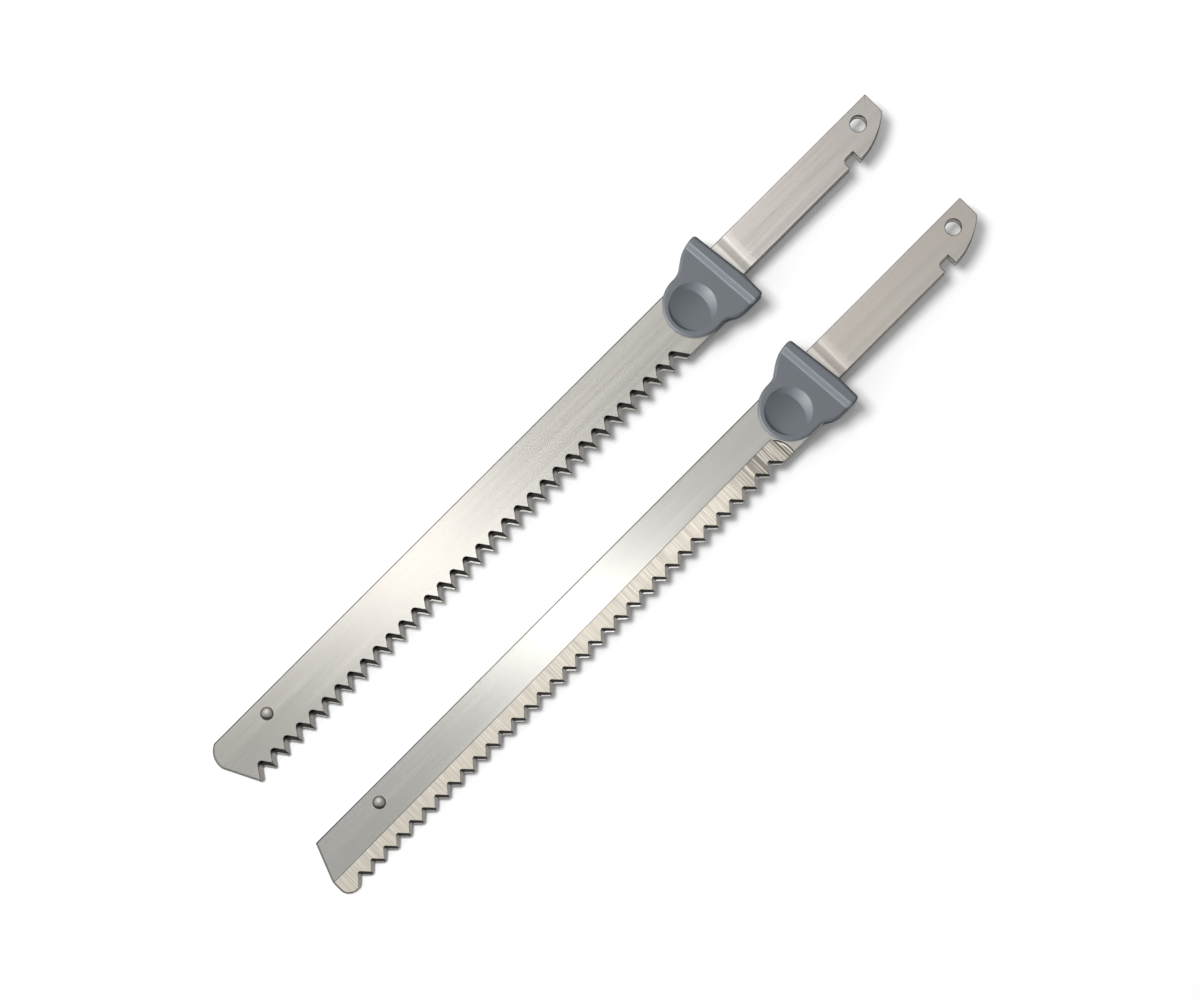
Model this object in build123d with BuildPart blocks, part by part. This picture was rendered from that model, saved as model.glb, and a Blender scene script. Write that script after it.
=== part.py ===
from build123d import *
import os
from math import atan2, cos, degrees, hypot, radians, sin, sqrt, tan
from types import SimpleNamespace

# Two pairs of electric knife blades, a bread pair and a carving pair, lying side by side.
# A half is modelled on a plane of its own: X runs along the blade from the tip to the tang,
# Y points to the spine, and Z points away from the flat face where the two halves meet.
# The rear half of a pair is built the same way and then mirrored in that face.

# Sheet steel and fits
sheet = 1.0
slide_gap = 0.05
pivot_fit = 0.05
slot_fit = 0.1
pocket_fit = 0.05
stake_fit = 0.02
overrun = 2.0

# Bread blade
bread_height = 21.4
bread_toe_back = 7.0
bread_rake_lead = 0.3
bread_rake_drop = 8.1
bread_nose_back = 4.5
bread_nose_radius = 7.5
bread_first_gash = 10.8
bread_gash_pitch = 6.35
bread_gash_radius = 1.2
bread_gash_angle = 55.0
bread_gash_rise_outer = 5.7
bread_gash_rise_inner = 3.4
bread_rivet_back = 24.9
bread_tip_to_pad = 231.9

# Carving blade
carving_height = 21.7
carving_point_back = 5.6
carving_front_drop = 14.0
carving_front_radius = 8.0
carving_toe_radius = 3.9
carving_first_gash = 8.7
carving_gash_pitch = 6.354
carving_gash_radius = 0.75
carving_gash_angle = 44.0
carving_gash_rise_outer = 4.3
carving_gash_rise_inner = 2.35
carving_bevel_height = 7.7
carving_edge_thickness = 0.55
carving_runout_top = 12.7
carving_runout_foot = 9.7
carving_runout_radius = 8.0
carving_rivet_back = 31.3
carving_tip_to_pad = 230.4

# Heel and tang, measured back from the centre of the thumb pad
heel_clearance = 5.0
heel_back = 14.6
heel_radius = 1.5
tang_height = 14.6
joggle_back = 20.3
joggle_run = 3.4
joggle_rise = 0.8
joggle_radius = 6.0
notch_back = 71.6
notch_width = 4.8
notch_depth = 3.4
notch_radius = 1.6
hook_drop = 0.5
nose_middle_back = 86.5
nose_middle_drop = 12.9
tang_end_back = 93.5
tang_end_drop = 8.4
tang_corner_radius = 0.6
drive_hole_back = 84.6
drive_hole_drop = 5.6
drive_hole_diameter = 5.7

# Tip rivet and the keyhole slot that it runs in
rivet_drop = 5.5
rivet_head_diameter = 4.4
rivet_head_height = 0.85
rivet_shank_diameter = 2.4
rivet_tail_diameter = 4.1
rivet_tail_height = 0.8
rivet_tail_round = 0.35
slot_travel = 6.0
keyhole_back = 10.0
keyhole_diameter = 4.7

# Moulded guard: thumb pad, riser and flange
pad_radius = 11.45
pad_drop = 10.1
pad_height = 4.5
flange_height = 7.5
flange_top = 7.0
flange_low = 24.2
flange_back_top = 16.7
flange_back_bend = 19.3
flange_bend_drop = 14.7
flange_back_low = 19.4
neck_angle = 36.0
neck_top_back = 0.9
neck_top_radius = 6.0
neck_top_ramp = 3.2
neck_low_back = 3.1
neck_low_radius = 5.0
neck_foot_back = 11.2
riser_foot_top = 11.6
riser_foot_low = 14.0
riser_run = 1.9
riser_round = 1.0
corner_radius = 1.3
corner_room = 1.25
edge_round = 1.0
stake_diameter = 3.0
stake_shares = ((-0.55, 0), (1.05, 0.5), (1.05, -0.5))

# Thumb dimple
dimple_back = -1.1
dimple_radius = 8.5
dimple_ball_radius = 14.0
dimple_floor_radius = 27.0
dimple_floor_tilt = 6.7
dimple_floor_depth = 1.35

# How the pairs lie: the front blades are shifted and turned a little on the rear ones
rest_slide = 0.6
rest_splay = 0.12
pair_spacing = 50.0
carving_lead = 0.49
carving_turn = 0.214

bread = SimpleNamespace(
    name="bread",
    height=bread_height,
    first_gash=bread_first_gash,
    gash_pitch=bread_gash_pitch,
    gash_radius=bread_gash_radius,
    gash_angle=bread_gash_angle,
    gash_rise_outer=bread_gash_rise_outer,
    gash_rise_inner=bread_gash_rise_inner,
    rivet_back=bread_rivet_back,
    pad_back=bread_tip_to_pad,
    place=(0, 0),
    turn=0,
    bevelled=False,
)
carving = SimpleNamespace(
    name="carving",
    height=carving_height,
    first_gash=carving_first_gash,
    gash_pitch=carving_gash_pitch,
    gash_radius=carving_gash_radius,
    gash_angle=carving_gash_angle,
    gash_rise_outer=carving_gash_rise_outer,
    gash_rise_inner=carving_gash_rise_inner,
    rivet_back=carving_rivet_back,
    pad_back=carving_tip_to_pad,
    place=(-carving_lead, -pair_spacing),
    turn=carving_turn,
    bevelled=True,
)

# The middle of everything, seen from above, is the origin
flange_middle = (flange_back_top + flange_back_low) / 2
carving_swing_out = (carving.pad_back + flange_middle) * sin(radians(carving_turn - rest_splay))
middle_x = (bread.pad_back + tang_end_back - carving_lead - rest_slide) / 2
middle_y = (flange_top - flange_low - pair_spacing + carving_swing_out) / 2


def front_plane(pair):
    # A pair lies on the flange of its rear guard, and on the tail of its rivet or on its tip
    flange_depth = slide_gap + sheet + flange_height
    flange_x = pair.pad_back + riser_foot_top + riser_run - rest_slide
    tail_depth = slide_gap + sheet + slide_gap + rivet_tail_height
    tail_x = pair.rivet_back - rivet_tail_diameter / 2 + rivet_tail_round
    tip_depth = slide_gap + sheet
    lean = min(
        atan2(flange_depth - tail_depth, flange_x - tail_x),
        atan2(flange_depth - tip_depth, flange_x),
    )
    x, y = pair.place
    z = flange_depth * cos(lean) - flange_x * sin(lean)
    return Plane(Location((x - middle_x, y - middle_y, z), (0, -degrees(lean), pair.turn)))


def rear_plane(pair):
    # The rear half is turned about the rivet and shifted towards the tip
    to_rivet = Pos(pair.rivet_back, -rivet_drop, 0)
    to_rear = Pos(-pair.rivet_back - rest_slide, rivet_drop, -slide_gap)
    return Plane(front_plane(pair).location * to_rivet * Rot(0, 0, -rest_splay) * to_rear)


def upright_plane(plane, x=0, y=0, z=0):
    # A plane along the blade that stands square to the sheet
    return Plane(plane.from_local_coords((x, y, z)), x_dir=plane.x_dir, z_dir=-plane.y_dir)


def across(plane, y, z):
    # A direction in the plane of the blade's cross-section
    return plane.y_dir * y + plane.z_dir * z


def corner(sketch, x, y):
    # The corner of an outline nearest to a point
    return sketch.vertices().sort_by_distance((x, y))[0]


def blade_outline(pair, plane, margin=0):
    # The blank before its edge is ground, seen square to the sheet
    pad = pair.pad_back
    notch = pad + notch_back
    end = pad + tang_end_back
    with BuildSketch(plane) as outline:
        with BuildLine():
            if pair.bevelled:
                toe = JernArc((carving_toe_radius, -pair.height), (-1, 0), carving_toe_radius, -90)
                slant = degrees(atan2(carving_point_back, carving_front_drop))
                blend = carving_front_radius * tan(radians(slant) / 2)
                upright = Line(toe @ 1, (0, -carving_front_drop - blend))
                front = JernArc(upright @ 1, (0, 1), carving_front_radius, -slant)
                Line(front @ 1, (carving_point_back, 0))
                spine_start = (carving_point_back, 0)
                toe_foot = (carving_toe_radius, -pair.height)
            else:
                toe_foot = (bread_toe_back, -pair.height)
                spine_start = (bread_nose_back, 0)
                rake = Line(toe_foot, (bread_rake_lead, -bread_rake_drop))
                RadiusArc(rake @ 1, spine_start, bread_nose_radius)
            Polyline(spine_start, (end, 0), (end, -tang_end_drop))
            ThreePointArc(
                (end, -tang_end_drop),
                (pad + nose_middle_back, -nose_middle_drop),
                (notch + notch_width, -tang_height - hook_drop),
            )
            Polyline(
                (notch + notch_width, -tang_height - hook_drop),
                (notch + notch_width, -tang_height + notch_depth),
                (notch, -tang_height + notch_depth),
                (notch, -tang_height),
                (pad + heel_back, -tang_height),
                (pad + heel_back, -pair.height),
                toe_foot,
            )
        make_face()
        fillet(corner(outline, end, 0), tang_corner_radius)
        fillet(corner(outline, end, -tang_end_drop), tang_corner_radius)
        fillet(corner(outline, notch, -tang_height + notch_depth), notch_radius)
        fillet(corner(outline, pad + heel_back, -tang_height), heel_radius)
        if margin:
            offset(amount=margin, kind=Kind.INTERSECTION)
    return outline.sketch


def gash_outline(pair, plane, crest):
    # Everything below the scallops, with their crests at the given height
    half_pitch = pair.gash_pitch / 2
    slope = tan(radians(pair.gash_angle))
    peak = crest + pair.gash_radius * (1 / cos(radians(pair.gash_angle)) - 1)
    floor = crest - pair.height
    run = (peak - floor) / slope
    toothed = pair.pad_back - pad_radius - heel_clearance - pair.first_gash
    count = int(toothed / pair.gash_pitch) + 1
    points = [(pair.first_gash - run, floor)]
    for i in range(count):
        x = pair.first_gash + i * pair.gash_pitch
        points.append((x, peak))
        if i < count - 1:
            points.append((x + half_pitch, peak - half_pitch * slope))
    points.append((x + run, floor))
    with BuildSketch(plane) as gashes:
        with BuildLine():
            Polyline(points, close=True)
        make_face()
        fillet(gashes.vertices().group_by(Axis.Y)[-1], pair.gash_radius)
    return gashes.sketch


def runout_outline(pair, plane):
    # The ground bevel seen square to itself, ending at the heel in the arc that the wheel leaves
    width = hypot(carving_bevel_height, sheet - carving_edge_thickness)
    top = (pair.pad_back - carving_runout_top, 0)
    foot = (pair.pad_back - carving_runout_foot, -width)
    with BuildSketch(plane) as ground:
        with BuildLine():
            runout = RadiusArc(top, foot, carving_runout_radius)
            Polyline(
                runout @ 1,
                (pair.pad_back - carving_runout_foot, -width - overrun),
                (-overrun, -width - overrun),
                (-overrun, 0),
                runout @ 0,
            )
        make_face()
    return ground.sketch


def blade(pair, plane, rear):
    end = pair.pad_back + tang_end_back
    joggle = pair.pad_back + joggle_back
    ease = sheet * tan(atan2(joggle_rise, joggle_run) / 2)
    with BuildPart() as steel:
        # The sheet seen from its edge, with the joggle that holds the tangs apart
        with BuildSketch(upright_plane(plane, y=overrun)) as edge_view:
            with BuildLine():
                Polyline(
                    (-overrun, 0),
                    (joggle, 0),
                    (joggle + joggle_run, joggle_rise),
                    (end + overrun, joggle_rise),
                    (end + overrun, joggle_rise + sheet),
                    (joggle + joggle_run - ease, joggle_rise + sheet),
                    (joggle - ease, sheet),
                    (-overrun, sheet),
                    close=True,
                )
            make_face()
            fillet(corner(edge_view, joggle, 0), joggle_radius + sheet)
            fillet(corner(edge_view, joggle - ease, sheet), joggle_radius)
            fillet(corner(edge_view, joggle + joggle_run, joggle_rise), joggle_radius)
            fillet(
                corner(edge_view, joggle + joggle_run - ease, joggle_rise + sheet),
                joggle_radius + sheet,
            )
        extrude(amount=pair.height + overrun + overrun)
        prism_height = sheet + joggle_rise + overrun + overrun
        extrude(blade_outline(pair, plane.offset(-overrun)), amount=prism_height, mode=Mode.INTERSECT)

        # The ground bevel of the carving blade
        if pair.bevelled:
            drop = sheet - carving_edge_thickness
            bevel = Plane(
                plane.from_local_coords((0, carving_bevel_height - pair.height, sheet)),
                x_dir=plane.x_dir,
                z_dir=across(plane, -drop, carving_bevel_height),
            )
            extrude(runout_outline(pair, bevel), amount=overrun, mode=Mode.SUBTRACT)

        # The scallops are ground at a slant, so they rise further on the outer face
        slant = (pair.gash_rise_outer - pair.gash_rise_inner) / sheet
        start = sheet + overrun
        crest = pair.gash_rise_inner + slant * start - pair.height
        extrude(
            gash_outline(pair, plane.offset(start), crest),
            amount=(start + overrun) * hypot(1, slant),
            dir=across(plane, -slant, -1),
            mode=Mode.SUBTRACT,
        )

        # Drive hole in the tang, and the holes for the guard's stakes
        with BuildSketch(plane.offset(-overrun)) as holes:
            with Locations((pair.pad_back + drive_hole_back, -drive_hole_drop)):
                Circle(drive_hole_diameter / 2)
            with Locations(*stake_places(pair)):
                Circle(stake_diameter / 2 + stake_fit)
            with Locations((pair.rivet_back, -rivet_drop)):
                if rear:
                    Circle(rivet_shank_diameter / 2 + slot_fit)
                else:
                    Circle(rivet_shank_diameter / 2 + pivot_fit)
            if rear:
                slot_from = pair.rivet_back - slot_travel
                slot_to = pair.rivet_back + keyhole_back
                with Locations(((slot_from + slot_to) / 2, -rivet_drop)):
                    SlotCenterToCenter(slot_to - slot_from, rivet_shank_diameter + 2 * slot_fit)
                with Locations((slot_to, -rivet_drop)):
                    Circle(keyhole_diameter / 2)
        extrude(amount=prism_height, mode=Mode.SUBTRACT)
        if rear:
            mirror(about=plane, mode=Mode.REPLACE)
    return steel.part


def stake_places(pair):
    return [(pair.pad_back + x * pad_radius, -pad_drop + y * pad_radius) for x, y in stake_shares]


def guard_outline(pair, plane):
    # A round thumb pad that flows through two necks into the flange
    pad = pair.pad_back
    pad_top = pad_radius - pad_drop
    pad_low = -pad_radius - pad_drop
    crown_end = (pad + flange_back_top - corner_room * corner_radius, flange_top)
    foot_end = (pad + neck_foot_back, -flange_low)
    top_corner = (pad + flange_back_top, flange_top)
    bend_corner = (pad + flange_back_bend, -flange_bend_drop)
    low_corner = (pad + flange_back_low, -flange_low)
    with BuildSketch(plane) as outline:
        with BuildLine():
            round_pad = ThreePointArc((pad, pad_low), (pad - pad_radius, -pad_drop), (pad, pad_top))
            top_run = Line(round_pad @ 1, (pad + neck_top_back, pad_top))
            hollow = JernArc(top_run @ 1, top_run % 1, neck_top_radius, neck_angle)
            ramp = Line(hollow @ 1, hollow @ 1 + (hollow % 1) * neck_top_ramp)
            TangentArc(ramp @ 1, crown_end, tangent=ramp % 1)
            Polyline(crown_end, top_corner, bend_corner, low_corner, foot_end)
            low_run = Line(round_pad @ 0, (pad + neck_low_back, pad_low))
            swell = JernArc(low_run @ 1, low_run % 1, neck_low_radius, -neck_angle)
            TangentArc(swell @ 1, foot_end, tangent=swell % 1)
        make_face()
        fillet(corner(outline, *top_corner), corner_radius)
        fillet(corner(outline, *low_corner), corner_radius)
    return outline.sketch


def thumb_scoop(pair, plane):
    # A shallow trough that deepens towards the flange, inside a ball that gives the steep end
    x = pair.pad_back + dimple_back
    top = sheet + pad_height
    ball_rise = sqrt(dimple_ball_radius**2 - dimple_radius**2)
    tilt = radians(dimple_floor_tilt)
    trough = Plane(
        plane.from_local_coords((x, -pad_drop, top - dimple_floor_depth + dimple_floor_radius)),
        x_dir=plane.y_dir,
        z_dir=plane.x_dir * cos(tilt) - plane.z_dir * sin(tilt),
    )
    with BuildPart() as scoop:
        with Locations(plane.from_local_coords((x, -pad_drop, top + ball_rise))):
            Sphere(dimple_ball_radius)
        with BuildSketch(trough):
            Circle(dimple_floor_radius)
        extrude(amount=dimple_ball_radius, both=True, mode=Mode.INTERSECT)
    return scoop.part


def guard(pair, plane, rear):
    pad = pair.pad_back
    slope = Vector(riser_foot_top - riser_foot_low, flange_top + flange_low)
    along = plane.x_dir * slope.X + plane.y_dir * slope.Y
    riser = Plane(
        plane.from_local_coords((pad + riser_foot_top, flange_top, sheet)),
        x_dir=plane.x_dir * slope.Y - plane.y_dir * slope.X,
        z_dir=-along,
    )
    reach = pad_radius + flange_back_low + overrun
    with BuildPart() as moulding:
        # The heights of pad, riser and flange, seen along the slanted riser
        with BuildSketch(riser) as steps:
            with BuildLine():
                Polyline(
                    (-reach, -sheet),
                    (reach, -sheet),
                    (reach, flange_height),
                    (riser_run, flange_height),
                    (0, pad_height),
                    (-reach, pad_height),
                    close=True,
                )
            make_face()
            fillet(corner(steps, 0, pad_height), riser_round)
            fillet(corner(steps, riser_run, flange_height), riser_round)
        extrude(amount=2 * reach, both=True)
        prism_height = sheet + flange_height + overrun + overrun
        extrude(guard_outline(pair, plane.offset(-overrun)), amount=prism_height, mode=Mode.INTERSECT)

        # Rounded rim along the tops of the upright walls
        walls = moulding.faces().filter_by(lambda f: abs(f.normal_at().dot(plane.z_dir)) < 0.01)
        middle = plane.offset(sheet + pad_height / 2)
        rim = [
            edge
            for edge in walls.edges()
            if min(middle.to_local_coords(corner.center()).Z for corner in edge.vertices()) > 0
        ]
        fillet(rim, edge_round)
        add(thumb_scoop(pair, plane), mode=Mode.SUBTRACT)

        # The pocket that the steel sits in, and the stakes that hold it
        steel = blade_outline(pair, plane.offset(-overrun), pocket_fit)
        extrude(steel, amount=overrun + sheet, mode=Mode.SUBTRACT)
        with BuildSketch(plane):
            with Locations(*stake_places(pair)):
                Circle(stake_diameter / 2)
        extrude(amount=sheet)
        if rear:
            mirror(about=plane, mode=Mode.REPLACE)
    return moulding.part


def rivet(pair, plane):
    head = rivet_head_diameter / 2
    shank = rivet_shank_diameter / 2
    tail = rivet_tail_diameter / 2
    tail_top = -slide_gap - sheet - slide_gap
    tail_low = tail_top - rivet_tail_height
    dome = (head**2 + rivet_head_height**2) / (2 * rivet_head_height)
    with BuildPart() as stud:
        with BuildSketch(upright_plane(plane, pair.rivet_back, -rivet_drop)) as profile:
            with BuildLine():
                RadiusArc((head, sheet), (0, sheet + rivet_head_height), -dome)
                Polyline(
                    (0, sheet + rivet_head_height),
                    (0, tail_low),
                    (tail, tail_low),
                    (tail, tail_top),
                    (shank, tail_top),
                    (shank, sheet),
                    (head, sheet),
                )
            make_face()
            fillet(corner(profile, tail, tail_low), rivet_tail_round)
        centre = plane.from_local_coords((pair.rivet_back, -rivet_drop, 0))
        revolve(axis=Axis(centre, plane.z_dir))
    return stud.part


def save(part, name):
    part.label = name
    export_step(part, f"parts/{name}.step")


os.makedirs("parts", exist_ok=True)
for pair in (bread, carving):
    front = front_plane(pair)
    rear = rear_plane(pair)
    save(blade(pair, front, rear=False), f"{pair.name}_front_blade")
    save(blade(pair, rear, rear=True), f"{pair.name}_rear_blade")
    save(guard(pair, front, rear=False), f"{pair.name}_front_guard")
    save(guard(pair, rear, rear=True), f"{pair.name}_rear_guard")
    save(rivet(pair, front), f"{pair.name}_tip_rivet")
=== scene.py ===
import math
import bmesh
import bpy
import numpy as np
from mathutils import Euler, Matrix, Vector


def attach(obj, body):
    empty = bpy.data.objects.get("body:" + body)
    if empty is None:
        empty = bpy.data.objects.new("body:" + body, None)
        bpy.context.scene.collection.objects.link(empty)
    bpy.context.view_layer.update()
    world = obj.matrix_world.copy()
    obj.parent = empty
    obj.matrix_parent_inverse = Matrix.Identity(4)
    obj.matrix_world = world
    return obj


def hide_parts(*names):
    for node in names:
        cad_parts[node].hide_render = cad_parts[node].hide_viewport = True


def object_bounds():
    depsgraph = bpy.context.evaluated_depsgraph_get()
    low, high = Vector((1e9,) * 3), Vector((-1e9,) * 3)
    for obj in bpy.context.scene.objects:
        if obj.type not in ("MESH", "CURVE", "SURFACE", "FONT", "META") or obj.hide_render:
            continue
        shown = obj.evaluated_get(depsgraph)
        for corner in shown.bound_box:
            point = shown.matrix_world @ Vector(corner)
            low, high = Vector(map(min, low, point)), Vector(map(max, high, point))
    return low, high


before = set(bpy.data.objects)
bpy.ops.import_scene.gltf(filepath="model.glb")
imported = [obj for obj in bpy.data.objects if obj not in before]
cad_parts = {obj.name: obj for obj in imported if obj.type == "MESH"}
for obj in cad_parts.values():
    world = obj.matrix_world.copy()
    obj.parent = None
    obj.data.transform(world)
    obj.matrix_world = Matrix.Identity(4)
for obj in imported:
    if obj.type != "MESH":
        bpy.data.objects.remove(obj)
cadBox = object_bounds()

# Where the front half of each pair lies: the corner of tip and spine on its flat face, its angles
# in degrees, how far back from the tip the thumb pad and the rivet stand, and how far below the
# spine the rivet stands
breadPlace = {
    "corner": (-0.162155, 0.033396, 0.001203),
    "pitch": 1.7189,
    "turn": 0.0,
    "padBack": 0.2319,
    "rivetBack": 0.0249,
    "rivetDrop": 0.0055,
}
carvingPlace = {
    "corner": (-0.162645, -0.016604, 0.001049),
    "pitch": 1.7657,
    "turn": 0.214,
    "padBack": 0.2304,
    "rivetBack": 0.0313,
    "rivetDrop": 0.0055,
}


def bladeAngles(place):
    return (0.0, -math.radians(place["pitch"]), math.radians(place["turn"]))


class Wire:
    # A socket that can stand in a sum: each operator adds the Math node that works it out
    def __init__(self, paint, socket):
        self.paint = paint
        self.socket = socket

    def work(self, operation, *values):
        return self.paint.node("ShaderNodeMath", {"operation": operation}, dict(enumerate(values)))

    def __add__(self, other):
        return self.work("ADD", self, other)

    def __radd__(self, other):
        return self.work("ADD", other, self)

    def __sub__(self, other):
        return self.work("SUBTRACT", self, other)

    def __rsub__(self, other):
        return self.work("SUBTRACT", other, self)

    def __mul__(self, other):
        return self.work("MULTIPLY", self, other)

    def __rmul__(self, other):
        return self.work("MULTIPLY", other, self)


class Paint:
    # A node tree under construction; node() adds any node, settings first, then values or links
    def __init__(self, tree):
        self.tree = tree
        tree.nodes.clear()

    def node(self, kind, settings=None, values=None, output=0):
        made = self.tree.nodes.new(kind)
        for name, setting in (settings or {}).items():
            setattr(made, name, setting)
        for key, value in (values or {}).items():
            if isinstance(value, Wire):
                self.tree.links.new(value.socket, made.inputs[key])
            else:
                made.inputs[key].default_value = value
        return Wire(self, made.outputs[output]) if made.outputs else None

    def objectPoint(self):
        return self.node("ShaderNodeTexCoord", output="Object")

    def local(self, point, place):
        # The point measured along a blade from its tip, across it from its spine, and out of it
        values = {"Vector": point, "Location": place["corner"], "Rotation": bladeAngles(place)}
        return self.node("ShaderNodeMapping", {"vector_type": "TEXTURE"}, values)

    def split(self, value, kind="ShaderNodeSeparateXYZ"):
        # The three parts of a vector or a colour
        made = self.node(kind, None, {0: value}).socket.node
        return [Wire(self, output) for output in made.outputs]

    def distance(self, point, centre):
        settings = {"operation": "DISTANCE"}
        return self.node("ShaderNodeVectorMath", settings, {0: point, 1: centre}, output="Value")

    def limit(self, value):
        return self.node("ShaderNodeClamp", None, {0: value, 1: 0.0, 2: 1.0})

    def smooth(self, value, low, high):
        # 0 below low, 1 above high, and an S curve between
        settings = {"interpolation_type": "SMOOTHSTEP"}
        values = {0: value, 1: low, 2: high, 3: 0.0, 4: 1.0}
        return self.node("ShaderNodeMapRange", settings, values)

    def noise(self, vector, perMetre, detail=2.0, rough=0.5):
        # Noise with its own number of features per metre along each axis
        values = {0: vector, 1: perMetre}
        stretched = self.node("ShaderNodeVectorMath", {"operation": "MULTIPLY"}, values)
        values = {"Vector": stretched, "Scale": 1.0, "Detail": detail, "Roughness": rough}
        return self.node("ShaderNodeTexNoise", None, values)

    def blend(self, factor, first, second):
        # A number that goes from the first to the second as the factor goes from 0 to 1
        return first + (second - first) * factor

    def mix(self, factor, first, second):
        # The same for two colours
        values = {0: factor, 6: first, 7: second}
        return self.node("ShaderNodeMix", {"data_type": "RGBA"}, values, output=2)

    def shade(self, colour, amount):
        # A colour made darker or lighter by a number
        grey = self.node("ShaderNodeCombineColor", None, {0: amount, 1: amount, 2: amount})
        settings = {"data_type": "RGBA", "blend_type": "MULTIPLY"}
        return self.node("ShaderNodeMix", settings, {0: 1.0, 6: colour, 7: grey}, output=2)

    def bump(self, height, depth):
        values = {"Strength": 1.0, "Distance": depth, "Height": height}
        return self.node("ShaderNodeBump", None, values)

    def surface(self, **sockets):
        named = {name.replace("_", " "): value for name, value in sockets.items()}
        shader = self.node("ShaderNodeBsdfPrincipled", None, named)
        self.node("ShaderNodeOutputMaterial", None, {"Surface": shader})


def newPaint(name):
    material = bpy.data.materials.new(name)
    material.use_nodes = True
    return material, Paint(material.node_tree)


def dress(nodeName, material):
    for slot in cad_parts[nodeName].material_slots:
        slot.material = material


# Steel of the blades: a copy of each CAD blade with its sharp edges eased, as tumbling leaves them.
# Lengths in metres, angles in degrees; "Out" and "Lean" are parts of a face's normal, out of the
# blade and across it
blades = {
    "ease": 0.00021,
    "easeSteps": 2,
    "sharpAngle": 17.0,
    "joinWithin": 1e-6,
    "flatWithin": 0.2,
    "creaseLength": 0.1,
    "creaseAngles": (2.0, 5.16),
    "scallopTop": -0.0145,
    "scallopOut": 0.10,
    "scallopLean": -0.1,
    "bevelTop": -0.0140,
    "bevelRise": 0.0061,
    "bevelEven": 0.028,
    "bevelHeight": 0.0077,
    "bevelWithin": 2e-5,
    "bevelOut": 0.985,
    "bevelLean": -0.03,
    "arcFromPad": (-0.01275, -0.0092),
    "outerFace": 0.0003,
    "rearBevelTop": -0.01393,
    "rearBevelRise": -0.0021,
    "flatOut": 0.99995,
    "innerOut": 0.995,
    "innerWithin": 0.0002,
    "runsIntoFlat": 0.96,
    "halves": (
        ("bread", "front", breadPlace),
        ("bread", "rear", breadPlace),
        ("carving", "front", carvingPlace),
        ("carving", "rear", carvingPlace),
    ),
}


def bladeFrame(place):
    # The blade's own directions as the columns of a matrix, and its corner
    return np.array(Euler(bladeAngles(place)).to_matrix()), np.array(place["corner"])


def readValues(items, name, size, kind):
    values = np.zeros(len(items) * size, kind)
    items.foreach_get(name, values)
    return values


def readPoints(mesh):
    return readValues(mesh.vertices, "co", 3, np.float32).reshape(-1, 3).astype(float)


def widenBevel(built, points, place):
    # The top of the ground bevel rises steadily towards the heel: rise * (along - even), on the
    # crease and, fading towards the foot, along the arc where the wheel ran out
    turned, corner = bladeFrame(place)
    along, across, out = ((points - corner) @ turned).T
    arcStart, arcEnd = (place["padBack"] + fromPad for fromPad in blades["arcFromPad"])
    below = blades["bevelTop"] - across
    onCrease = np.abs(below) < blades["bevelWithin"]
    onArc = (along > arcStart) & (along < arcEnd)
    onArc &= (below > -blades["bevelWithin"]) & (below < blades["bevelHeight"])
    moving = (onCrease | onArc) & (np.abs(out) > blades["outerFace"])
    fade = 1.0 - np.clip(below / blades["bevelHeight"], 0.0, 1.0)
    lift = blades["bevelRise"] * (along - blades["bevelEven"]) * fade
    raised = points + lift[:, None] * turned[:, 1]
    # Only the few corners of the bevel's outline move
    built.verts.ensure_lookup_table()
    for index in np.flatnonzero(moving).tolist():
        built.verts[index].co = raised[index]


def keepInside(mesh, node, place):
    # The rounding of a very sharp tooth may overshoot: every point goes back into the blade's box
    turned, corner = bladeFrame(place)
    outer = (readPoints(node.data) - corner) @ turned
    points = (readPoints(mesh) - corner) @ turned
    points = np.clip(points, outer.min(axis=0), outer.max(axis=0)) @ turned.T + corner
    mesh.vertices.foreach_set("co", points.astype(np.float32).ravel())
    mesh.update()


def easedMesh(node, name, place):
    # Joins the loose triangles, makes the flats whole, then rounds every sharp edge alike
    mesh = bpy.data.meshes.new(name)
    built = bmesh.new()
    built.from_mesh(node.data)
    bmesh.ops.remove_doubles(built, verts=built.verts, dist=blades["joinWithin"])
    flat = math.radians(blades["flatWithin"])
    bmesh.ops.dissolve_limit(built, angle_limit=flat, verts=built.verts, edges=built.edges)
    if name == "carvingFrontSteel":
        built.to_mesh(mesh)
        widenBevel(built, readPoints(mesh), place)
    whole = [edge for edge in built.edges if edge.is_manifold]
    bends = [(edge, math.degrees(edge.calc_face_angle())) for edge in whole]
    # The long, hardly bent edge on top of a bevel; nothing is rounded where it ends at the heel
    least, most = blades["creaseAngles"]
    creases = [edge for edge, angle in bends if least < angle < most]
    creases = [edge for edge in creases if edge.calc_length() > blades["creaseLength"]]
    ends = {max(edge.verts, key=lambda vert: vert.co.x) for edge in creases}
    sharp = [edge for edge, angle in bends if angle > blades["sharpAngle"]]
    bmesh.ops.bevel(
        built,
        geom=[edge for edge in sharp if not ends & set(edge.verts)],
        affect="EDGES",
        offset_type="OFFSET",
        offset=blades["ease"],
        segments=blades["easeSteps"],
        profile=0.5,
        clamp_overlap=False,
        loop_slide=True,
        material=1,
    )
    bmesh.ops.triangulate(built, faces=built.faces)
    built.to_mesh(mesh)
    built.free()
    keepInside(mesh, node, place)
    return mesh


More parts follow.
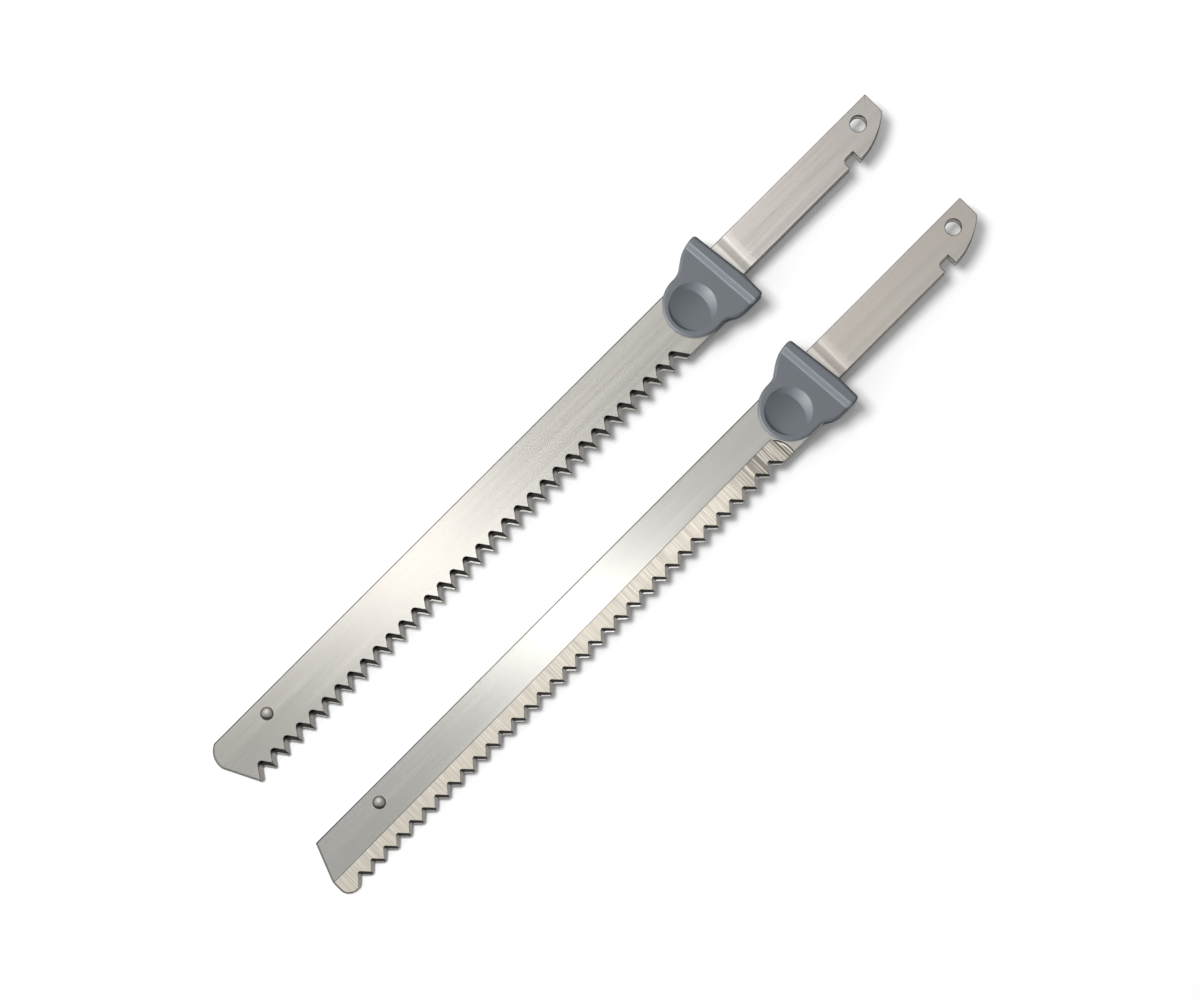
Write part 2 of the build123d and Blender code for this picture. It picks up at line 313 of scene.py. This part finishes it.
class FaceTable:
    # What each triangle is: its vertices, area, normal, and whether it is flat, ground or rounded
    def __init__(self, mesh, place):
        self.mesh = mesh
        self.corners = readValues(mesh.loops, "vertex_index", 1, np.int32).reshape(-1, 3)
        self.areas = readValues(mesh.polygons, "area", 1, np.float32)
        self.eased = readValues(mesh.polygons, "material_index", 1, np.int32) == 1
        self.normals = readValues(mesh.polygons, "normal", 3, np.float32).reshape(-1, 3)
        centres = readValues(mesh.polygons, "center", 3, np.float32).reshape(-1, 3)
        turned, corner = bladeFrame(place)
        forward, lean, out = (self.normals @ turned).T
        along, across, above = ((centres - corner) @ turned).T
        out = np.abs(out)
        low = across < blades["scallopTop"]
        steep = (out < blades["bevelOut"]) & (out > blades["scallopOut"])
        self.flat = (out > blades["flatOut"]) & ~self.eased
        self.bevel = (out > blades["bevelOut"]) & (lean < blades["bevelLean"])
        self.scallop = low & steep & (lean < blades["scallopLean"])
        self.inner = (out > blades["innerOut"]) & (np.abs(above) < blades["innerWithin"])
        self.facing = forward.astype(np.float32)

    def spread(self, chosen):
        # The area-weighted sum, at each vertex, of the normals of the chosen faces
        sums = np.zeros((len(self.mesh.vertices), 3))
        weighted = (self.normals * np.maximum(self.areas, 1e-12)[:, None])[chosen]
        for column in range(3):
            np.add.at(sums, self.corners[chosen, column], weighted)
        lengths = np.linalg.norm(sums, axis=1)
        sums[lengths > 0.0] /= lengths[lengths > 0.0][:, None]
        return sums, lengths > 0.0


def rollShading(table):
    # Flats keep their own normal, curved faces share theirs, and rounded edges roll over between
    curved = ~(table.flat | table.bevel | table.scallop | table.eased)
    groups = (table.flat, table.bevel & ~table.eased, table.scallop & ~table.eased, curved)
    cornerNormals = np.repeat(table.normals[:, None, :], 3, axis=1).astype(float)
    edgeNormals = table.spread(table.eased)[0]
    for group in reversed(groups):
        sums, here = table.spread(group)
        cornerNormals[group] = sums[table.corners[group]]
        edgeNormals[here] = sums[here]
    cornerNormals[table.eased] = edgeNormals[table.corners[table.eased]]
    # Where a curve runs out into a flat, it takes the flat's normal
    sums, here = table.spread(table.flat)
    meets = here[table.corners] & curved[:, None]
    likeness = np.einsum("fcx,fx->fc", sums[table.corners], table.normals)
    meets &= likeness > blades["runsIntoFlat"]
    cornerNormals[meets] = sums[table.corners][meets]
    mesh = table.mesh
    if "custom_normal" in mesh.attributes:
        mesh.attributes.remove(mesh.attributes["custom_normal"])
    mesh.shade_smooth()
    mesh.normals_split_custom_set(cornerNormals.reshape(-1, 3))


def markFaces(mesh, name, kind, field, values):
    mesh.attributes.new(name, kind, "FACE").data.foreach_set(field, values.ravel())


def markZones(table):
    # Red: ground scallops. Green: ground bevel. Blue: the flat face where the two halves meet
    count = len(table.areas)
    zones = np.ones((count, 4), np.float32)
    zones[:, 0], zones[:, 1], zones[:, 2] = table.scallop, table.bevel, table.inner
    markFaces(table.mesh, "zones", "FLOAT_COLOR", "color", zones)
    markFaces(table.mesh, "easedEdge", "FLOAT", "value", table.eased.astype(np.float32))
    markFaces(table.mesh, "facing", "FLOAT", "value", table.facing)
    table.mesh.polygons.foreach_set("material_index", np.zeros(count, np.int32))


def makeBlade(pair, half, place, material):
    node = f"{pair}_{half}_blade"
    name = f"{pair}{half.capitalize()}Steel"
    mesh = easedMesh(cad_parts[node], name, place)
    table = FaceTable(mesh, place)
    rollShading(table)
    markZones(table)
    mesh.materials.append(material)
    piece = bpy.data.objects.new(name, mesh)
    bpy.context.scene.collection.objects.link(piece)
    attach(piece, f"{pair}_{half}")
    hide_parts(node)
    print(name, len(mesh.polygons), "triangles")


# Finish of each steel: colour as written, roughness, and the depth of its marks in metres
bodySteel = {
    "bread": {
        "colour": (0.365, 0.352, 0.327, 1.0),
        "tangColour": (0.292, 0.276, 0.258, 1.0),
        "roughness": 0.16,
        "brushDepth": 0.7e-6,
        "streaks": 0.14,
        "pocketFade": (-0.0176, -0.0163),
    },
    "carving": {
        "colour": (0.400, 0.394, 0.372, 1.0),
        "tangColour": (0.330, 0.308, 0.281, 1.0),
        "roughness": 0.14,
        "brushDepth": 0.5e-6,
        "streaks": 0.07,
        "pocketFade": (-0.0187, -0.0177),
    },
}
# What both share. A "Fade" is where something begins and where it is complete, in metres unless it
# is a share of noise or of a normal; "FromPad" counts from the centre of the thumb pad; "Marks" are
# per metre along the blade, across it and out of it
groundSteel = {
    "scallopColour": (0.360, 0.346, 0.324, 1.0),
    "scallopRoughness": 0.30,
    "farSidePaintedShade": 0.87,
    "facingFade": (-0.10, 0.35),
    "bevelColour": (0.508, 0.472, 0.412, 1.0),
    "bevelRoughness": 0.30,
    "tangFromPad": (0.012, 0.020),
    "tangRoughness": 0.25,
    "joggleFromPad": (0.008, 0.016),
    "joggleEndFromPad": (0.021, 0.028),
    "joggleRoughness": 0.42,
    "jogglePaintedShade": -0.12,
    "fineMarks": (28.0, 3000.0, 900.0),
    "broadMarks": (12.0, 600.0, 200.0),
    "broadDepth": 0.7,
    "broadRoughness": 0.05,
    "cloudMarks": (30.0, 90.0, 90.0),
    "cloudContrast": 0.06,
    "grindMarks": (1900.0, 50.0, 50.0),
    "grindDepth": 4.0e-6,
    "grindContrast": 1.35,
    "wanderMarks": (420.0, 50.0, 50.0),
    "wanderShare": 0.15,
    "matingPaintedShade": 0.85,
    "frontFade": (-0.0002, 0.0002),
    "rivetPaintedShadow": 0.85,
    "rivetShadowShift": 0.00012,
    "rivetShadowFade": (0.00228, 0.00248),
    "pocketPaintedShade": 0.10,
    "spineFade": (-0.00046, -0.000322),
    "spinePaintedShade": 0.42,
    "edgePaintedShade": 0.065,
    "creaseLineWidth": 0.00022,
    "creasePaintedShade": 0.80,
    "creaseLineEndFromPad": (-0.0127, -0.0117),
    "runOutFromPad": (-0.045, -0.013),
    "runOutShade": 0.22,
    "runOutStreaks": 0.72,
    "scoredMarks": (2500.0, 30.0, 30.0),
    "scoredFade": (0.48, 0.58),
    "crescentMiddle": (-0.01758, -0.02034),
    "crescentRadius": (0.0071, 0.0078),
    "crescentAcross": (-0.0150, -0.0170),
    "crescentFromPad": (-0.0145, -0.0130),
    "crescentPaintedHighlight": 0.75,
}


def bevelPaint(paint, place, point, front, bevel, amount):
    # The light of a ground bevel: painted shade along its crease, its darker run-out, and a painted
    # highlight on the crescent at its end
    ground = groundSteel
    along, across, out = paint.split(point)
    fromPad = along - place["padBack"]
    # Painted shade: a thin dark line along the crease where the bevel meets the flat
    frontTop = blades["bevelTop"] + blades["bevelRise"] * (along - blades["bevelEven"])
    rearTop = blades["rearBevelTop"] + blades["rearBevelRise"] * along
    height = across - paint.blend(front, rearTop, frontTop)
    above = paint.smooth(height, -ground["creaseLineWidth"], 0.0)
    below = paint.smooth(height, 0.0, ground["creaseLineWidth"])
    creaseLine = above * (1.0 - below) * (1.0 - paint.smooth(fromPad, *ground["creaseLineEndFromPad"]))
    amount = amount * (1.0 - ground["creasePaintedShade"] * creaseLine)
    # Towards its run-out the bevel darkens and its grinding marks deepen
    near = paint.smooth(fromPad, *ground["runOutFromPad"]) * bevel
    scored = paint.noise(point, ground["scoredMarks"], 0.0)
    deep = paint.smooth(scored, *ground["scoredFade"]) * ground["runOutStreaks"]
    amount = amount * (1.0 - near * paint.blend(deep, ground["runOutShade"], 1.0))
    # A painted highlight on the crescent at the bevel's very end, where the wheel ran out: distance
    # from the arc's centre
    backwards, sideways = ground["crescentMiddle"]
    flatPoint = paint.node("ShaderNodeCombineXYZ", None, {0: fromPad, 1: across, 2: 0.0})
    apart = paint.distance(flatPoint, (backwards, sideways, 0.0))
    crescent = paint.smooth(apart, *ground["crescentRadius"]) * bevel
    crescent = crescent * paint.smooth(across, *ground["crescentAcross"])
    crescent = crescent * paint.smooth(fromPad, *ground["crescentFromPad"])
    return amount + ground["crescentPaintedHighlight"] * crescent


def steelPaint(pair, place):
    look, ground = bodySteel[pair], groundSteel
    material, paint = newPaint(f"{pair}BladeSteel")
    point = paint.local(paint.objectPoint(), place)
    along, across, out = paint.split(point)
    fromPad = along - place["padBack"]
    zones = paint.node("ShaderNodeAttribute", {"attribute_name": "zones"}, output="Color")
    scallop, bevel, inner = paint.split(zones, "ShaderNodeSeparateColor")
    edge = paint.node("ShaderNodeAttribute", {"attribute_name": "easedEdge"}, output="Fac")
    facing = paint.node("ShaderNodeAttribute", {"attribute_name": "facing"}, output="Fac")
    worked = paint.limit(scallop + bevel)
    front = paint.smooth(out, *ground["frontFade"])
    tang = paint.smooth(fromPad, *ground["tangFromPad"])
    # Brushing runs along the blade, grinding runs across the edge
    fine = paint.noise(point, ground["fineMarks"])
    broad = paint.noise(point, ground["broadMarks"])
    cloud = paint.noise(point, ground["cloudMarks"])
    grind = paint.noise(point, ground["grindMarks"])
    wander = paint.noise(point, ground["wanderMarks"])
    brushed = 1.0 + look["streaks"] * (fine + broad - 1.0)
    brushed = brushed * (1.0 + ground["cloudContrast"] * (cloud - 0.5))
    scratched = paint.blend(ground["wanderShare"], grind, wander)
    scratched = 1.0 + ground["grindContrast"] * (scratched - 0.5)
    amount = paint.blend(worked, brushed, scratched)
    # Painted shade on the flat face where the two halves meet
    amount = amount * paint.blend(inner, 1.0, ground["matingPaintedShade"])
    # Painted shade: the side of a scallop that faces away from the tang is darkened, the side
    # facing the tang is left lit
    litSide = paint.smooth(facing, *ground["facingFade"])
    amount = amount * (1.0 - ground["farSidePaintedShade"] * scallop * (1.0 - litSide))
    # Painted shade in the crests of the scallops and along the spine's rounded edge
    pocket = paint.smooth(across, *look["pocketFade"]) * scallop
    amount = amount * paint.blend(pocket, 1.0, ground["pocketPaintedShade"])
    spine = paint.smooth(across, *ground["spineFade"]) * (1.0 - tang)
    amount = amount * paint.blend(spine, 1.0, ground["spinePaintedShade"])
    # Painted shade on the rounded edges, except in the scallops
    amount = amount * paint.blend(edge * (1.0 - scallop), 1.0, ground["edgePaintedShade"])
    # Painted shadow round the rivet's head, shifted towards its lower side
    shift = ground["rivetShadowShift"]
    flatPoint = paint.node("ShaderNodeCombineXYZ", None, {0: along, 1: across, 2: 0.0})
    middle = (place["rivetBack"] - shift, -place["rivetDrop"] - shift, 0.0)
    rivetShadow = front * (1.0 - paint.smooth(paint.distance(flatPoint, middle), *ground["rivetShadowFade"]))
    amount = amount * (1.0 - ground["rivetPaintedShadow"] * rivetShadow)
    if pair == "carving":
        amount = bevelPaint(paint, place, point, front, bevel, amount)
    # The press leaves the joggle matt; next to the guard its colour is also darkened, painted shade
    joggle = 1.0 - paint.smooth(fromPad, *ground["joggleEndFromPad"])
    joggle = joggle * paint.smooth(fromPad, *ground["joggleFromPad"])
    amount = amount * (1.0 + ground["jogglePaintedShade"] * joggle)
    roughness = paint.blend(tang, look["roughness"], ground["tangRoughness"])
    roughness = roughness + ground["broadRoughness"] * (broad - 0.5)
    roughness = paint.blend(joggle, roughness, ground["joggleRoughness"])
    roughness = paint.blend(bevel, roughness, ground["bevelRoughness"])
    roughness = paint.blend(scallop, roughness, ground["scallopRoughness"])
    colour = paint.mix(tang, look["colour"], look["tangColour"])
    colour = paint.mix(bevel, colour, ground["bevelColour"])
    colour = paint.mix(scallop, colour, ground["scallopColour"])
    brushHeight = (fine + ground["broadDepth"] * broad) * look["brushDepth"]
    height = paint.blend(worked, brushHeight, grind * ground["grindDepth"])
    paint.surface(
        Base_Color=paint.shade(colour, amount),
        Metallic=1.0,
        Roughness=roughness,
        Normal=paint.bump(height, 1.0),
    )
    return material


# Guards: slate grey moulding with a fine satin skin
guardPlastic = {
    "colour": (0.0375, 0.0430, 0.0500, 1.0),
    "roughness": 0.58,
    "gloss": 0.4,
    "skinMarks": (5200.0, 5200.0, 5200.0),
    "skinDepth": 6.0e-6,
    "skinContrast": 0.04,
    "flowMarks": (160.0, 160.0, 160.0),
    "flowContrast": 0.08,
    "flowRoughness": 0.10,
}


def guardPaint():
    look = guardPlastic
    material, paint = newPaint("guardSlatePlastic")
    point = paint.objectPoint()
    skin = paint.noise(point, look["skinMarks"])
    flow = paint.noise(point, look["flowMarks"], 3.0)
    amount = look["flowContrast"] * (flow - 0.5) + look["skinContrast"] * (skin - 0.5)
    paint.surface(
        Base_Color=paint.shade(look["colour"], 1.0 + amount),
        Roughness=look["roughness"] + look["flowRoughness"] * (flow - 0.5),
        Specular_IOR_Level=look["gloss"],
        Normal=paint.bump(skin, look["skinDepth"]),
    )
    return material


# Rivets: turned satin steel
rivetSteel = {
    "colour": (0.27, 0.255, 0.240, 1.0),
    "roughness": 0.56,
    "turnMarks": (2600.0, 2600.0, 2600.0),
    "turnDepth": 2.0e-6,
    "turnLevel": 0.99,
    "turnContrast": 0.14,
    "turnRoughness": 0.10,
    "rimFade": (0.0011, 0.0015),
    "rimPaintedShade": 0.60,
    "lowerSideFade": (0.0014, 0.0021),
    "lowerSidePaintedShade": 0.60,
}


def rivetPaint(pair, place):
    look = rivetSteel
    material, paint = newPaint(f"{pair}RivetSteel")
    point = paint.local(paint.objectPoint(), place)
    along, across, out = paint.split(point)
    marks = paint.noise(point, look["turnMarks"], 3.0, 0.6)
    # Painted shade towards the rims of head and tail, and on the head's lower side
    rim = 1.0 - paint.smooth(out.work("ABSOLUTE", out), *look["rimFade"])
    lean = (place["rivetBack"] - along) - (across + place["rivetDrop"])
    lowerSide = paint.smooth(lean, *look["lowerSideFade"])
    amount = (1.0 - look["rimPaintedShade"] * rim) * (1.0 - look["lowerSidePaintedShade"] * lowerSide)
    amount = amount * (look["turnLevel"] + look["turnContrast"] * (marks - 0.5))
    paint.surface(
        Base_Color=paint.shade(look["colour"], amount),
        Metallic=1.0,
        Roughness=look["roughness"] + look["turnRoughness"] * (marks - 0.5),
        Normal=paint.bump(marks, look["turnDepth"]),
    )
    return material


places = {"bread": breadPlace, "carving": carvingPlace}
steels = {pair: steelPaint(pair, place) for pair, place in places.items()}
guardMaterial = guardPaint()
for pair, half, place in blades["halves"]:
    dress(f"{pair}_{half}_blade", steels[pair])
    dress(f"{pair}_{half}_guard", guardMaterial)
    makeBlade(pair, half, place, steels[pair])
for pair, place in places.items():
    dress(f"{pair}_tip_rivet", rivetPaint(pair, place))
print("blades, guards and rivets: made and painted")


# Camera: straight above, its picture turned so that the blades run corner to corner
camera = {
    "place": (-0.00185, -0.00157, 1.2),
    "turn": -44.885,
    "viewWidth": 0.4199,
    "sensor": 36.0,
    "objectHeight": 0.005,
    "clip": (0.01, 100.0),
}


def makeCamera():
    data = bpy.data.cameras.new("topCamera")
    distance = camera["place"][2] - camera["objectHeight"]
    data.sensor_width = camera["sensor"]
    data.lens = camera["sensor"] * distance / camera["viewWidth"]
    data.clip_start, data.clip_end = camera["clip"]
    holder = bpy.data.objects.new("topCamera", data)
    holder.location = camera["place"]
    holder.rotation_euler = (0.0, 0.0, math.radians(camera["turn"]))
    bpy.context.scene.collection.objects.link(holder)
    bpy.context.scene.camera = holder


makeCamera()
print("camera: made")


# Studio: a white floor, a soft world with brighter cards in it, a key lamp, an overhead strip lamp,
# and a side lamp for the guards. A card's "edge" and "full" are degrees from its middle
studio = {
    "white": (1.0, 1.0, 1.0, 1.0),
    "floorReach": 8.0,
    "floorGap": 0.00002,
    "floorColour": (0.83, 0.83, 0.83, 1.0),
    "floorGlow": 0.06,
    "floorFade": (0.30, 0.45),
    "roomLevel": 0.10,
    "reflectionFill": 0.75,
    "cards": (
        {"towards": (0.10, 0.0, 1.0), "edge": 28.0, "full": 8.0, "level": 0.84},
        {"towards": (-0.72, 0.55, 0.38), "edge": 38.0, "full": 18.0, "level": 1.5},
        {"towards": (0.42, 0.72, 0.50), "edge": 50.0, "full": 18.0, "level": 0.75},
        {"towards": (0.73, -0.58, 0.36), "edge": 34.0, "full": 10.0, "level": 0.45},
        {"towards": (-0.45, 0.0, 0.89), "edge": 17.0, "full": 6.0, "level": 0.90},
    ),
    "keyLamp": {
        "place": (-0.06, 0.50, 1.31),
        "along": (1.0, 0.0, 0.0),
        "size": (0.42, 0.42),
        "power": 17.0,
    },
    "sideLamp": {
        "place": (-1.44, 0.30, 0.62),
        "along": (0.0, 0.0, 1.0),
        "size": (0.9, 0.6),
        "power": 92.0,
    },
    "stripLamp": {
        "place": (-0.3475, 0.0, 3.0),
        "along": (0.453, -0.892, 0.0),
        "size": (0.13, 1.2),
        "power": 2.0,
    },
}


def makeFloor():
    wide, level = studio["floorReach"], cadBox[0].z - studio["floorGap"]
    mesh = bpy.data.meshes.new("studioFloor")
    corners = [(-wide, -wide), (wide, -wide), (wide, wide), (-wide, wide)]
    mesh.from_pydata([(x, y, level) for x, y in corners], [], [(0, 1, 2, 3)])
    floor = bpy.data.objects.new("studioFloor", mesh)
    bpy.context.scene.collection.objects.link(floor)
    material, paint = newPaint("studioFloorWhite")
    seen = paint.node("ShaderNodeLightPath", output="Is Camera Ray")
    glossy = paint.node("ShaderNodeLightPath", output="Is Glossy Ray")
    through = paint.node("ShaderNodeLightPath", output="Is Transmission Ray")
    matt = paint.node("ShaderNodeBsdfDiffuse", None, {"Color": studio["floorColour"]})
    glow = paint.node("ShaderNodeEmission", None, {"Color": studio["white"], "Strength": 1.0})
    # Around the object the floor is matt and takes its shadow; further off it is plain white
    reach = paint.distance(paint.objectPoint(), (0.0, 0.0, 0.0))
    far = paint.smooth(reach, *studio["floorFade"])
    factor = paint.limit((studio["floorGlow"] + far) * (seen + glossy + through))
    mixed = paint.node("ShaderNodeMixShader", None, {0: factor, 1: matt, 2: glow})
    paint.node("ShaderNodeOutputMaterial", None, {"Surface": mixed})
    mesh.materials.append(material)


def makeWorld():
    world = bpy.data.worlds.new("studioWorld")
    world.use_nodes = True
    bpy.context.scene.world = world
    paint = Paint(world.node_tree)
    direction = paint.node("ShaderNodeTexCoord", output="Generated")
    seen = paint.node("ShaderNodeLightPath", output="Is Camera Ray")
    glossy = paint.node("ShaderNodeLightPath", output="Is Glossy Ray")
    strength = studio["roomLevel"]
    for card in studio["cards"]:
        settings = {"operation": "DOT_PRODUCT"}
        values = {0: direction, 1: Vector(card["towards"]).normalized()}
        near = paint.node("ShaderNodeVectorMath", settings, values, output="Value")
        edge, full = (math.cos(math.radians(card[name])) for name in ("edge", "full"))
        strength = strength + card["level"] * paint.smooth(near, edge, full)
    # Reflections find some light everywhere, so that steel isn't black from low angles
    filled = strength.work("MAXIMUM", strength, studio["reflectionFill"])
    strength = paint.blend(glossy, strength, filled)
    # The camera sees plain white; the cards only light the object and show in its reflections
    strength = paint.blend(seen, strength, 1.0)
    values = {"Color": studio["white"], "Strength": strength}
    sky = paint.node("ShaderNodeBackground", None, values)
    paint.node("ShaderNodeOutputWorld", None, {"Surface": sky})


def makeLamp(name, receivers=()):
    # A rectangle that faces the origin, with its long side along the given direction; with
    # receivers, it is flagged off from everything else
    look = studio[name]
    data = bpy.data.lights.new(name, "AREA")
    data.shape = "RECTANGLE"
    data.size, data.size_y = look["size"]
    data.energy = look["power"]
    back = Vector(look["place"]).normalized()
    side = Vector(look["along"]).cross(back).normalized()
    turned = Matrix((side, back.cross(side), back)).transposed()
    lamp = bpy.data.objects.new(name, data)
    lamp.location = look["place"]
    lamp.rotation_mode = "QUATERNION"
    lamp.rotation_quaternion = turned.to_quaternion()
    bpy.context.scene.collection.objects.link(lamp)
    if receivers:
        lamp.light_linking.receiver_collection = bpy.data.collections.new(f"{name}Receivers")
        for receiver in receivers:
            lamp.light_linking.receiver_collection.objects.link(receiver)


makeFloor()
makeWorld()
makeLamp("keyLamp")
makeLamp("stripLamp")
guards = [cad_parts[f"{pair}_{half}_guard"] for pair, half, place in blades["halves"]]
makeLamp("sideLamp", guards)
bpy.context.scene.view_settings.view_transform = "Standard"
print("studio: floor, world and lamps")
